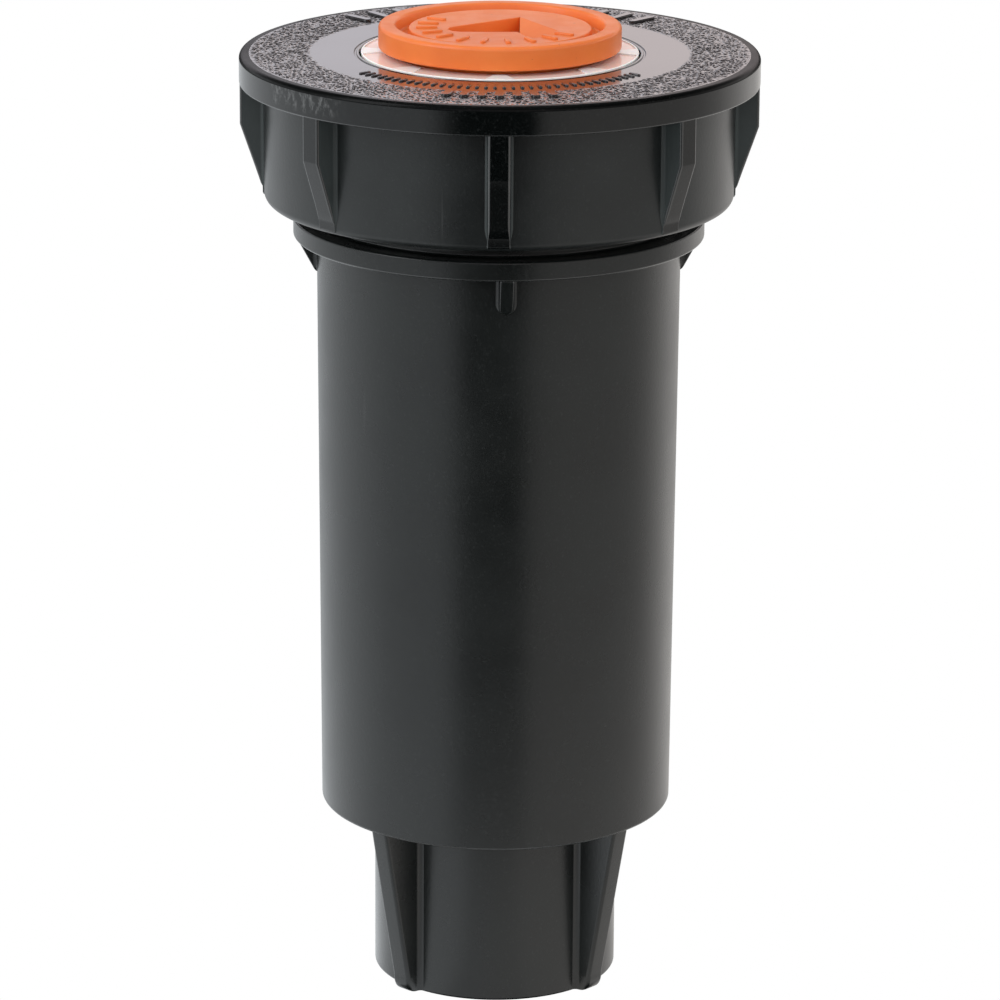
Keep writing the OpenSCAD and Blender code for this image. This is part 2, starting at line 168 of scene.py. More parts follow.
def principled(name, color, rough, spec=0.5):
    """A new material: itself, its node tree and its principled shader."""
    mat = bpy.data.materials.new(name)
    mat.use_nodes = True
    nt = mat.node_tree
    bsdf = nt.nodes["Principled BSDF"]
    bsdf.inputs["Base Color"].default_value = (*color, 1)
    bsdf.inputs["Roughness"].default_value = rough
    bsdf.inputs["Specular IOR Level"].default_value = spec
    return mat, nt, bsdf


def coords(nt, scale=(1, 1, 1)):
    """The object's own coordinates, stretched by scale."""
    tex = nt.nodes.new("ShaderNodeTexCoord")
    mapping = nt.nodes.new("ShaderNodeMapping")
    mapping.inputs["Scale"].default_value = scale
    nt.links.new(tex.outputs["Object"], mapping.inputs["Vector"])
    return mapping.outputs["Vector"]


def noise_tex(nt, vec, scale, detail=4.0, rough=0.55):
    n = nt.nodes.new("ShaderNodeTexNoise")
    n.inputs["Scale"].default_value = scale
    n.inputs["Detail"].default_value = detail
    n.inputs["Roughness"].default_value = rough
    nt.links.new(vec, n.inputs["Vector"])
    return n.outputs["Fac"]


def ramp(nt, fac, stops):
    """A colour ramp over fac: stops are (position, colour)."""
    r = nt.nodes.new("ShaderNodeValToRGB")
    els = r.color_ramp.elements
    while len(els) < len(stops):
        els.new(0.5)
    for e, (pos, col) in zip(els, stops):
        e.position = pos
        e.color = (*col, 1)
    nt.links.new(fac, r.inputs["Fac"])
    return r.outputs["Color"]


def math_node(nt, op, a, b=None):
    """One step of arithmetic on links and numbers."""
    m = nt.nodes.new("ShaderNodeMath")
    m.operation = op
    for i, v in enumerate((a, b)):
        if v is None:
            continue
        if isinstance(v, (int, float)):
            m.inputs[i].default_value = v
        else:
            nt.links.new(v, m.inputs[i])
    return m.outputs[0]


def multiply(nt, *factors):
    """The product of two or more links and numbers, starting with a link."""
    out = factors[0]
    for factor in factors[1:]:
        out = math_node(nt, "MULTIPLY", out, factor)
    return out


def mask(nt, fac, lo, hi):
    """Black below lo, white above hi."""
    return ramp(nt, fac, [(lo, (0, 0, 0)), (hi, (1, 1, 1))])


def mix_color(nt, fac, a, b, mode="MIX"):
    m = nt.nodes.new("ShaderNodeMix")
    m.data_type = "RGBA"
    m.blend_type = mode
    for sock, v in ((m.inputs[0], fac), (m.inputs[6], a), (m.inputs[7], b)):
        if isinstance(v, (int, float)):
            sock.default_value = v
        elif isinstance(v, tuple):
            sock.default_value = (*v, 1)
        else:
            nt.links.new(v, sock)
    return m.outputs[2]


def smooth_step(nt, value, lo, hi, out_lo=0.0, out_hi=1.0):
    """out_lo up to lo, out_hi from hi on, with a smooth passage between."""
    m = nt.nodes.new("ShaderNodeMapRange")
    m.interpolation_type = "SMOOTHSTEP"
    for sock, v in (("From Min", lo), ("From Max", hi), ("To Min", out_lo), ("To Max", out_hi)):
        m.inputs[sock].default_value = v
    nt.links.new(value, m.inputs["Value"])
    return m.outputs["Result"]


def split(nt, vector):
    """The X, Y and Z outputs of a vector."""
    sep = nt.nodes.new("ShaderNodeSeparateXYZ")
    nt.links.new(vector, sep.inputs[0])
    return sep.outputs


def bump(nt, bsdf, height, strength):
    """Drives a shader's normal from a height."""
    b = nt.nodes.new("ShaderNodeBump")
    b.inputs["Strength"].default_value = strength
    b.inputs["Distance"].default_value = BUMP_DEPTH
    nt.links.new(height, b.inputs["Height"])
    nt.links.new(b.outputs["Normal"], bsdf.inputs["Normal"])


def black_plastic(name, rough, tint=(0.0055, 0.0068, 0.0066), grain=0.12, scuffs=0.0, spec=0.5,
                  worn=0.35, coat=0.0):
    """Moulded black plastic: faint mottling, fine grain, pale dust and thin handling scratches."""
    mat, nt, bsdf = principled(name, tint, rough, spec)
    vec = coords(nt)
    cloud = noise_tex(nt, vec, 90, 5)
    light = tuple(c * 1.5 for c in tint)
    dark = tuple(c * 0.8 for c in tint)
    col = ramp(nt, cloud, [(0.3, dark), (0.7, light)])
    fine = noise_tex(nt, vec, 2600, 3, 0.6)
    dust = mask(nt, noise_tex(nt, vec, 3400, 2), 0.58, 0.75)
    col = mix_color(nt, multiply(nt, dust, DUST_AMOUNT), col, DUST)
    if worn:
        streak = noise_tex(nt, coords(nt, (1, 1, 0.06)), 900, 2)
        scratch = mask(nt, streak, 0.69, 0.76)
        patch = mask(nt, noise_tex(nt, vec, 60, 2), 0.5, 0.68)
        col = mix_color(nt, multiply(nt, scratch, patch, worn), col, WORN)
    if scuffs:
        col = scuff(nt, vec, col, scuffs)
    nt.links.new(col, bsdf.inputs["Base Color"])
    spread = multiply(nt, math_node(nt, "SUBTRACT", cloud, 0.5), rough * 0.8)
    nt.links.new(math_node(nt, "ADD", spread, rough), bsdf.inputs["Roughness"])
    height = math_node(nt, "ADD", fine, multiply(nt, cloud, 0.6))
    bump(nt, bsdf, height, grain)
    if coat:
        bsdf.inputs["Coat Weight"].default_value = coat
        bsdf.inputs["Coat Roughness"].default_value = rough
    return mat


def scuff(nt, vec, col, amount):
    """Pale rubbed marks on the left front of the cap's rim."""
    xyz = split(nt, vec)
    front = math_node(nt, "LESS_THAN", xyz["Y"], -9 * MM)
    level = smooth_step(nt, xyz["Z"], (PLATE_LOW + 0.2) * MM, (PLATE_LOW + 1.4) * MM)
    left = smooth_step(nt, xyz["X"], -25.5 * MM, -23.5 * MM)
    right = smooth_step(nt, xyz["X"], -19.0 * MM, -16.0 * MM, 1.0, 0.0)
    marks = mask(nt, noise_tex(nt, coords(nt, (1, 1, 0.5)), 1300, 6, 0.75), 0.5, 0.68)
    return mix_color(nt, multiply(nt, marks, left, right, front, level, amount), col, SCUFFED)


def pale_plastic(name, dark, light):
    """Glossy pale plastic of the seal ring."""
    mat, nt, bsdf = principled(name, light, 0.16)
    vec = coords(nt)
    cloud = noise_tex(nt, vec, 140, 4)
    nt.links.new(ramp(nt, cloud, [(0.3, dark), (0.7, light)]), bsdf.inputs["Base Color"])
    bsdf.inputs["Subsurface Weight"].default_value = 0.1
    bsdf.inputs["Subsurface Scale"].default_value = 0.001
    bump(nt, bsdf, noise_tex(nt, vec, 1200, 3), 0.04)
    return mat


def orange_plastic():
    """Satin orange plastic with slight translucency, fine grain and a few dark specks."""
    mat, nt, bsdf = principled("orange_plastic", (0.72, 0.17, 0.03), 0.38)
    vec = coords(nt)
    cloud = noise_tex(nt, vec, 120, 5)
    col = ramp(nt, cloud, [(0.3, (0.7, 0.148, 0.022)), (0.7, (0.79, 0.195, 0.038))])
    speck = mask(nt, noise_tex(nt, vec, 1500, 1), 0.765, 0.79)
    col = mix_color(nt, multiply(nt, speck, 0.55), col, (0.25, 0.06, 0.02))
    nt.links.new(col, bsdf.inputs["Base Color"])
    bsdf.inputs["Subsurface Weight"].default_value = 0.15
    bsdf.inputs["Subsurface Scale"].default_value = 0.0008
    bsdf.inputs["Subsurface Radius"].default_value = (1.0, 0.35, 0.15)
    rough = ramp(nt, noise_tex(nt, vec, 400, 3), [(0.3, (0.3,) * 3), (0.7, (0.44,) * 3)])
    nt.links.new(rough, bsdf.inputs["Roughness"])
    bump(nt, bsdf, noise_tex(nt, vec, 1800, 4, 0.6), 0.1)
    return mat


def grey_plastic():
    """Satin grey plastic of the washer and the ratchet ring."""
    mat, nt, bsdf = principled("grey_plastic", (0.19, 0.2, 0.21), 0.42)
    vec = coords(nt)
    cloud = noise_tex(nt, vec, 160, 4)
    nt.links.new(ramp(nt, cloud, [(0.3, (0.15, 0.16, 0.17)), (0.7, (0.23, 0.24, 0.25))]),
                 bsdf.inputs["Base Color"])
    bump(nt, bsdf, noise_tex(nt, vec, 2200, 3), 0.1)
    return mat


def seal_rubber():
    """Soft matt black rubber."""
    mat, nt, bsdf = principled("seal_rubber", (0.02, 0.02, 0.021), 0.62)
    vec = coords(nt)
    cloud = noise_tex(nt, vec, 300, 5)
    nt.links.new(ramp(nt, cloud, [(0.3, (0.014,) * 3), (0.7, (0.035,) * 3)]), bsdf.inputs["Base Color"])
    bump(nt, bsdf, noise_tex(nt, vec, 1700, 4), 0.16)
    return mat


def spring_steel():
    """Drawn spring wire."""
    mat, nt, bsdf = principled("spring_steel", (0.6, 0.6, 0.62), 0.27)
    bsdf.inputs["Metallic"].default_value = 1.0
    cloud = noise_tex(nt, coords(nt), 250, 3)
    drawn = noise_tex(nt, coords(nt, (1, 1, 8)), 900, 3)
    rough = ramp(nt, drawn, [(0.3, (0.2,) * 3), (0.7, (0.4,) * 3)])
    nt.links.new(rough, bsdf.inputs["Roughness"])
    nt.links.new(ramp(nt, cloud, [(0.3, (0.5, 0.5, 0.52)), (0.7, (0.66, 0.66, 0.67))]),
                 bsdf.inputs["Base Color"])
    bump(nt, bsdf, drawn, 0.08)
    return mat


MAT_CASE = black_plastic("case_plastic", 0.28, (0.0042, 0.0054, 0.0052))
MAT_CAP = black_plastic("cap_rim_plastic", 0.13, (0.0014, 0.0019, 0.0019), 0.05, scuffs=0.3)
MAT_SKIRT = black_plastic("cap_skirt_plastic", 0.31, (0.0068, 0.0084, 0.0084))
# Lighter, rougher copy of the black plastic for the ribs' sides: a painted sheen.
MAT_SIDE_SHEEN = black_plastic("rib_side_painted_sheen_plastic", 0.55, (0.019, 0.025, 0.025))
# Lighter, shinier copy of the black plastic for edges: a painted highlight.
MAT_EDGE_HIGHLIGHT = black_plastic("edge_painted_highlight_plastic", 0.15, (0.012, 0.013, 0.013), 0.03, spec=1.0, worn=0.0)
# Much lighter copy of the black plastic for the barrel's foot edge: a painted highlight.
MAT_FOOT_HIGHLIGHT = black_plastic("foot_painted_highlight_plastic", 0.4, (0.045, 0.047, 0.047), 0.03, worn=0.0)
# Darker, less shiny copy of the rim plastic for its rounded shoulder: painted shade.
MAT_FILLET_SHADE = black_plastic("rim_fillet_painted_shade_plastic", 0.3, (0.0012, 0.0015, 0.0015), 0.03, spec=0.12,
                           worn=0.0)
MAT_TOP = black_plastic("cap_top_plastic", 0.12, (0.011, 0.0085, 0.009), 0.04, worn=0.0, coat=0.8)
MAT_BAND = black_plastic("cap_band_plastic", 0.1, (0.012, 0.0095, 0.01), 0.04, spec=0.8, worn=0.0,
                         coat=1.0)
MAT_RISER = black_plastic("riser_plastic", 0.26)
MAT_PALE = pale_plastic("pale_plastic", (0.88, 0.85, 0.83), (0.95, 0.93, 0.91))
# Pink copy of the pale plastic for the ring's dish: a painted orange glow from the plug above it.
MAT_DISH_GLOW = pale_plastic("ring_dish_painted_glow_plastic", (0.85, 0.63, 0.56), (0.92, 0.73, 0.66))
MAT_ORANGE = orange_plastic()
MAT_GREY = grey_plastic()
MAT_RUBBER = seal_rubber()
MAT_STEEL = spring_steel()


# ---------------------------------------------------------------- mesh helpers

class Shape:
    """Vertices in millimetres and faces with a material index, gathered before one mesh is made."""

    def __init__(self):
        self.verts, self.faces, self.mats = [], [], []

    def add(self, verts, faces, mat=0):
        """Adds faces with one material index, or with a list of one index per face."""
        base = len(self.verts)
        self.verts.extend(tuple(v) for v in verts)
        self.faces.extend(tuple(i + base for i in f) for f in faces)
        self.mats.extend(mat if isinstance(mat, list) else [mat] * len(faces))

    def build(self, name, body, materials, replaced, angle=32, merge=0.0004):
        """Makes the object: near points merged, edges past angle sharp, riding on its body."""
        mesh = bpy.data.meshes.new(name)
        mesh.from_pydata([Vector(v) * MM for v in self.verts], [], self.faces)
        for m in materials:
            mesh.materials.append(m)
        mesh.polygons.foreach_set("material_index", self.mats)
        bm = bmesh.new()
        bm.from_mesh(mesh)
        bmesh.ops.remove_doubles(bm, verts=bm.verts, dist=merge * MM)
        bmesh.ops.recalc_face_normals(bm, faces=bm.faces)
        limit = math.radians(angle)
        for f in bm.faces:
            f.smooth = True
        for e in bm.edges:
            e.smooth = len(e.link_faces) != 2 or e.calc_face_angle(0) < limit
        bm.to_mesh(mesh)
        bm.free()
        obj = bpy.data.objects.new(name, mesh)
        bpy.context.scene.collection.objects.link(obj)
        shading = obj.modifiers.new("even_shading", "WEIGHTED_NORMAL")
        shading.keep_sharp = True
        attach(obj, body)
        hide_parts(replaced)
        return obj


def rounded(points, n=4):
    """An outline with corners rounded in n steps: each point is (r, z) or (r, z, fillet)."""
    out = []
    for i, p in enumerate(points):
        if len(p) == 2 or i in (0, len(points) - 1):
            out.append((p[0], p[1]))
            continue
        rad = p[2]
        a = np.array(points[i - 1][:2], float)
        b = np.array(p[:2], float)
        c = np.array(points[i + 1][:2], float)
        u, v = a - b, c - b
        lu, lv = np.linalg.norm(u), np.linalg.norm(v)
        u, v = u / lu, v / lv
        half = math.acos(max(-1, min(1, float(u @ v)))) / 2
        cut = min(rad / math.tan(half), lu * 0.49, lv * 0.49)
        rad = cut * math.tan(half)
        centre = b + (u + v) / np.linalg.norm(u + v) * rad / math.sin(half)
        s, e = b + u * cut - centre, b + v * cut - centre
        a0 = math.atan2(s[1], s[0])
        turn = (math.atan2(e[1], e[0]) - a0 + math.pi) % FULL_TURN - math.pi
        for k in range(n + 1):
            a1 = a0 + turn * k / n
            out.append((centre[0] + rad * math.cos(a1), centre[1] + rad * math.sin(a1)))
    return out


def circle(r, segs):
    """Points round the axis, starting from +X."""
    turns = [FULL_TURN * i / segs for i in range(segs)]
    return [(r * math.cos(a), r * math.sin(a)) for a in turns]


def tube(loops, around):
    """Faces between neighbouring closed loops of points, each with the same number around."""
    faces = []
    for j in range(loops - 1):
        for i in range(around):
            n = (i + 1) % around
            faces.append((j * around + i, j * around + n, (j + 1) * around + n, (j + 1) * around + i))
    return faces


def sheet(lines, along):
    """Faces between neighbouring open lines of points, each with the same number along."""
    return [(j * along + i, j * along + i + 1, (j + 1) * along + i + 1, (j + 1) * along + i)
            for j in range(lines - 1) for i in range(along - 1)]


def lathe(profile, segs=SEGS):
    """Turns an outline round the axis."""
    verts = [(x, y, z) for r, z in profile for x, y in circle(r, segs)]
    return verts, tube(len(profile), segs)


def add_lathe(shape, profile, choose):
    """Turns an outline and picks each strip's material from its mean radius and height."""
    mats = []
    for (r0, z0), (r1, z1) in zip(profile, profile[1:]):
        mats += [choose((r0 + r1) / 2, (z0 + z1) / 2)] * SEGS
    shape.add(*lathe(profile), mats)


def lift(verts, x, z):
    """Moves points out along X and up."""
    return [(vx + x, y, vz + z) for vx, y, vz in verts]


def turn_about(verts, degrees):
    """Turns points round the axis."""
    a = math.radians(degrees)
    c, s = math.cos(a), math.sin(a)
    return [(x * c - y * s, x * s + y * c, z) for x, y, z in verts]


def web_section(radius, height, half, fillet, corner):
    """Plan of a web standing on a round wall at angle 0, from its +Y side to its -Y side."""
    f = min(fillet, height * 0.85)
    c = min(corner, height * 0.35, half * 0.9)
    side = []
    y0 = half + f
    x0 = math.sqrt(max(radius * radius - y0 * y0, 0)) - 0.03
    for k in range(6):
        a = math.radians(180 + 90 * k / 5)
        side.append((x0 + f + f * math.cos(a), y0 + f * math.sin(a)))
    top = math.sqrt(max((radius + height) ** 2 - half * half, 0))
    for k in range(4):
        a = math.radians(90 - 90 * k / 3)
        side.append((top - c + c * math.cos(a), half - c + c * math.sin(a)))
    return side + [(x, -y) for x, y in reversed(side)]


def web(shape, angle, levels, half, fillet, corner, face_mat=0, side_mat=0, edge_mat=0):
    """A web whose height over its wall changes with z: levels are (z, wall radius, height[, half width]).

    The three last arguments are material indices for its outer face, its sides and its outer corners.
    """
    sections = []
    for z, radius, height, *own in levels:
        plan = web_section(radius, max(height, 0.02), own[0] if own else half, fillet, corner)
        sections.append([(x, y, z) for x, y in plan])
    along = len(sections[0])
    middle = along // 2 - 1
    row = [face_mat if i == middle else edge_mat if abs(i - middle) < 4 else side_mat
           for i in range(along - 1)]
    verts = turn_about([v for section in sections for v in section], angle)
    shape.add(verts, sheet(len(levels), along), row * (len(levels) - 1))


def thread(shape, section, pitch, turns, z0, per_turn=72, mat=0):
    """A helical ridge: section is a list of (radius, height) with a root radius first; ends fade out."""
    fade, stub = 0.12, 0.01
    n = int(turns * per_turn)
    root = section[0][0]
    verts = []
    m = len(section)
    for i in range(n + 1):
        t = i / per_turn
        k = min(1.0, (t + stub) / fade, (turns - t + stub) / fade)
        a = FULL_TURN * t
        for r, dz in section:
            rr = root + (r - root) * k
            verts.append((rr * math.cos(a), rr * math.sin(a), z0 + pitch * t + dz))
    ends = [tuple(range(m)), tuple(n * m + j for j in reversed(range(m)))]
    shape.add(verts, sheet(n + 1, m) + ends, mat)


def ridge(half):
    """A thread's section from one half of it: (radius, distance from the middle), root first."""
    return [(r, -dz) for r, dz in half] + [(r, dz) for r, dz in reversed(half)]


def pill_bar(length, width, height, soft, n=3):
    """A raised bar along X from the origin, lying on z = 0, with softened top edges."""
    loops = [(0.0, -0.15)]
    for k in range(n + 1):
        a = math.pi / 2 * k / n
        loops.append((soft * (1 - math.cos(a)), height - soft + soft * math.sin(a)))
    verts = []
    for inset_by, z in loops:
        r = width / 2 - inset_by
        for cx, a0 in ((length - width / 2, -90), (width / 2, 90)):
            for k in range(7):
                a = math.radians(a0 + 180 * k / 6)
                verts.append((cx + r * math.cos(a), r * math.sin(a), z))
    return verts, capped(len(loops), 14)


def capped(loops, around):
    """The faces of a tube, closed over its last loop."""
    return tube(loops, around) + [tuple((loops - 1) * around + i for i in range(around))]


# ---------------------------------------------------------------- case

def boss_web():
    """Levels of a web on the boss: full under the barrel, tapering to a rounded foot."""
    top = BARREL_LOW_R - 0.5 - BOSS_R
    levels = [(BOSS_H + 0.3, BOSS_R, top)]
    for k in range(9):
        t = k / 8
        levels.append((BOSS_H - 0.05 + (2.25 - BOSS_H) * t, BOSS_R, top * (1 - t) + 2.0 * t))
    for k in range(1, 11):
        a = math.radians(90 * k / 10)
        levels.append((2.1 - 1.94 * math.sin(a), BOSS_R, 0.85 + 1.15 * math.cos(a)))
    return levels + [(0.14, BOSS_R, 0.4), (0.13, BOSS_R - 0.2, 0.02)]


def flange_gusset():
    """Levels of a gusset under the flange: it thins downwards and narrows to a point at the end."""
    high = FLANGE_R - 0.13 - BARREL_R
    levels = [(FLANGE_LOW + 0.1, BARREL_R, high), (FLANGE_LOW - 0.02, BARREL_R, high)]
    for k in range(1, 17):
        t = k / 16
        past = max(0.0, (t - 0.82) / 0.18)
        half = GUSSET_HALF * math.sqrt(max(1 - past ** 2, 0.02))
        levels.append((FLANGE_LOW - 4.3 * t, BARREL_R - 0.02 * t, high * (1 - t) + 0.15 * t, half))
    return levels + [(FLANGE_LOW - 4.42, BARREL_R - 0.2, 0.02, 0.08)]


def build_case():
    s = Shape()
    # Slots: plain plastic, the edge plastic with a painted highlight and the foot edge plastic with a
    # painted highlight.
    body, edge_highlight, foot_highlight = range(3)
    outline = rounded([
        (INLET_R + CHAMFER, 0), (BOSS_R, 0, 0.35), (BOSS_R, BOSS_H, 0.6),
        (BARREL_LOW_R, BOSS_H, 0.4), (BARREL_R, FLANGE_LOW, 0.35),
        (FLANGE_R, FLANGE_LOW, 0.22), (FLANGE_R, FLANGE_TOP, 0.25), (RELIEF_R, FLANGE_TOP, 0.3),
        (RELIEF_R, FLANGE_TOP + 2.2, 0.2), (NECK_R, FLANGE_TOP + 2.8, 0.2),
        (NECK_R, CASE_TOP, 0.5), (MOUTH_R, CASE_TOP, 0.5), (MOUTH_R, FLANGE_LOW + 2, 0.8),
        (CHAMBER_R, FLANGE_LOW, 0.8), (CHAMBER_R, FLOOR_Z, 1.2), (SEAT_OUT, FLOOR_Z),
        (SEAT_OUT, SEAT_TOP, 0.2), (SEAT_IN, SEAT_TOP, 0.2), (SEAT_IN, FLOOR_Z),
        (WAY_R, FLOOR_Z, 0.4), (WAY_R, INLET_DEEP, 0.2), (INLET_R, INLET_DEEP, 0.2),
        (INLET_R, CHAMFER, 0.1), (INLET_R + CHAMFER, 0)
    ], 5)

    def wall_slot(r, z):
        """The flange's lower edge and the barrel's foot edge get lighter plastics: painted highlights."""
        if abs(r - FLANGE_R) < 0.22 and z < FLANGE_LOW + 0.22:
            return edge_highlight
        return foot_highlight if r > BARREL_LOW_R - 0.2 and BOSS_H < z < BOSS_H + 0.3 else body

    add_lathe(s, outline, wall_slot)
    for i in range(4):
        web(s, WEB_FIRST + 90 * i, boss_web(), WEB_HALF, 0.8, 0.42)
    # The gussets' outer corners get the edge plastic: painted highlights.
    for i in range(4):
        web(s, GUSSET_FIRST + 90 * i, flange_gusset(), GUSSET_HALF, 0.6, 0.12, edge_mat=edge_highlight)
    spline = [(17.1, -0.8), (17.1, 0.8), (18.2, 0.8), (18.2, -0.8)]
    verts = [(x, y, z) for z in (FLOOR_Z, FLANGE_LOW - 0.5) for x, y in spline]
    faces = [(0, 1, 5, 4), (1, 2, 6, 5), (3, 0, 4, 7), (4, 5, 6, 7)]
    for i in range(SPLINE_COUNT):
        s.add(turn_about(verts, 360 / SPLINE_COUNT * i), faces)
    section = ridge([(NECK_R - 0.3, 0.83), (NECK_R + 0.1, 0.74), (22.8, 0.4), (22.9, 0.3)])
    thread(s, section, CAP_PITCH, CAP_TURNS, CAP_THREAD_LOW + 1.06)
    section = ridge([(INLET_R + 0.6, 0.3), (INLET_R - 0.05, 0.12)])
    thread(s, section, INLET_PITCH, INLET_TURNS, 1.5, per_turn=60)
    s.build("case_body", "case", [MAT_CASE, MAT_EDGE_HIGHLIGHT, MAT_FOOT_HIGHLIGHT], "case")


# ---------------------------------------------------------------- cap

# The edge, rib side and fillet plastics are lighter or darker copies of the cap's plastic: painted
# highlights, painted sheen and painted shade.
CAP_MATERIALS = [MAT_CAP, MAT_TOP, MAT_SKIRT, MAT_SIDE_SHEEN, MAT_EDGE_HIGHLIGHT, MAT_FILLET_SHADE, MAT_BAND]
RIM, TOP, SKIRT, SIDE_SHEEN, EDGE_HIGHLIGHT, FILLET_SHADE, BAND = range(len(CAP_MATERIALS))


def cap_walls(shape):
    """Rim, skirt, hub and the underside of the plate."""
    outline = rounded([
        (BAND_OUT, CAP_TOP), (CAP_R, CAP_TOP, RIM_ROUND), (CAP_R, PLATE_LOW, 0.18),
        (SKIRT_R, PLATE_LOW, 0.25), (SKIRT_R, SKIRT_LOW, 0.9), (SKIRT_IN, SKIRT_LOW, 0.4),
        (SKIRT_IN, PLATE_LOW, 0.6), (HUB_R, PLATE_LOW, 0.6), (HUB_R, HUB_LOW, 0.2),
        (HUB_IN, HUB_LOW, 0.1), (HUB_IN, CAP_TOP - 2), (OPEN_R, CAP_TOP - 2),
        (OPEN_R, CAP_TOP - 0.5)
    ], 10)

    def rim_slot(r, z):
        """Painted highlight on the lower edge, painted shade on the rounded shoulder with a painted
        highlight line under it, and the rest.
        """
        if r > CAP_R - 0.2 and z < PLATE_LOW + 0.2:
            return EDGE_HIGHLIGHT
        if r > SKIRT_R + 0.3:
            # The rounded shoulder gets the fillet plastic, painted shade; the line under it the edge
            # plastic, a painted highlight.
            return FILLET_SHADE if z > CAP_TOP - 0.7 else EDGE_HIGHLIGHT if z > CAP_TOP - 0.92 else RIM
        return SKIRT

    add_lathe(shape, outline, rim_slot)


def cap_rib():
    """Levels of an outer rib: full height under the rim, sloping in to a low foot."""
    low = SKIRT_LOW + 0.4
    full = PLATE_LOW - 4.8
    high = CAP_R - SKIRT_R - 0.05
    levels = [(PLATE_LOW + 0.2, SKIRT_R, high), (full + 0.05, SKIRT_R, high)]
    for k in range(9):
        t = k / 8
        levels.append((full - 0.03 + (low + 1.33 - full) * t, SKIRT_R, high * (1 - t) + 0.36 * t))
    return levels + [(low + 1.0, SKIRT_R, 0.17), (low + 0.3, SKIRT_R, 0.16), (low + 0.04, SKIRT_R, 0.02)]


# Without a seed of its own, noise_vector takes one from the clock and the grain changes on each run.
noise.seed_set(1)


def pebble(x, y):
    """Height of the leather-like grain, 0 to 1, at a point of the cap's top."""
    p = Vector((x / 0.56, y / 0.56, 0.37))
    warp = noise.noise_vector(Vector((x * 0.9, y * 0.9, 4.2))) * 0.35
    dist, _ = noise.voronoi(p + warp)
    gap = min(1.0, (dist[1] - dist[0]) * 3.2)
    big = noise.noise(Vector((x * 0.5, y * 0.5, 9.1))) * 0.2
    fine = noise.noise(Vector((x * 3.1, y * 3.1, 2.7))) * 0.16
    return gap * (0.75 + big + fine)


def cap_band(shape):
    """The pebbled band, flat where it meets its neighbours."""
    rows, cols = 58, 1300
    verts = []
    for j in range(rows + 1):
        r = BAND_IN + (BAND_OUT - BAND_IN) * j / rows
        fade = max(0.0, min(1.0, (r - BAND_IN) / 0.35, (BAND_OUT - r) / 0.3))
        for x, y in circle(r, cols):
            verts.append((x, y, CAP_TOP + (pebble(x, y) * 0.13 - 0.04) * fade))
    shape.add(verts, tube(rows + 1, cols), BAND)


def cap_marks(shape):
    """Plain bars and dashes where the real cap has lettering."""
    bars = [(48 + 7 * k, 4.0) for k in range(6)] + [(132 - 7 * k, 4.0) for k in range(6)]
    bars += [(-90 + (k - 3) * 4.6, 2.5) for k in range(7)]
    for angle, length in bars:
        verts, faces = pill_bar(length, 1.0, BAR_H, 0.12)
        shape.add(turn_about(lift(verts, 22, CAP_TOP), angle), faces, TOP)
    dashes, spread = 36, 102
    verts, faces = pill_bar(1.5, 0.4, 0.15, 0.06, 2)
    for k in range(dashes):
        angle = -90 - spread / 2 + spread * k / (dashes - 1)
        shape.add(turn_about(lift(verts, 18, CAP_TOP), angle), faces, TOP)


def build_cap():
    s = Shape()
    cap_walls(s)
    for i in range(RIB_COUNT):
        # The ribs' sides get the rib side plastic, a painted sheen, and their outer corners the edge
        # plastic, a painted highlight.
        web(s, 360 / RIB_COUNT * i - 90, cap_rib(), RIB_HALF, 0.5, 0.26, RIM, SIDE_SHEEN, EDGE_HIGHLIGHT)
    section = ridge([(SKIRT_IN + 0.3, 0.83), (SKIRT_IN - 0.1, 0.74), (22.1, 0.4), (22.0, 0.3)])
    thread(s, section, CAP_PITCH, CAP_TURNS, CAP_THREAD_LOW, mat=SKIRT)
    # The smooth ring ends a hair under the band, so that the two don't share points.
    smooth = rounded([
        (OPEN_R, CAP_TOP - 0.5), (OPEN_R, CAP_TOP + 0.02, 0.12), (15.8, CAP_TOP + 0.02, 0.05),
        (15.86, CAP_TOP - 0.16, 0.05), (16.02, CAP_TOP - 0.16, 0.05), (16.08, CAP_TOP, 0.05),
        (BAND_IN, CAP_TOP - 0.002)
    ])
    s.add(*lathe(smooth, 360), TOP)
    cap_band(s)
    cap_marks(s)
    s.build("cap_body", "cap", CAP_MATERIALS, "cap")


# ---------------------------------------------------------------- pale ring

def inset(plan, d):
    """Moves every side of a counter-clockwise plan inwards by d."""
    out = []
    for i in range(len(plan)):
        a, b, c = (np.array(plan[k % len(plan)], float) for k in (i - 1, i, i + 1))
        u, v = (b - a) / np.linalg.norm(b - a), (c - b) / np.linalg.norm(c - b)
        n = np.array([-u[1] - v[1], u[0] + v[0]]) / (1 + float(u @ v))
        out.append(tuple(b + n * d))
    return out


def soft_block(plan, low, high, soft):
    """An upright block with rounded top edges."""
    steps = 3
    loops = [(plan, low)]
    for k in range(steps + 1):
        a = math.pi / 2 * k / steps
        loops.append((inset(plan, soft * (1 - math.cos(a))), high - soft + soft * math.sin(a)))
    verts = [(x, y, z) for loop, z in loops for x, y in loop]
    return verts, capped(len(loops), len(plan))


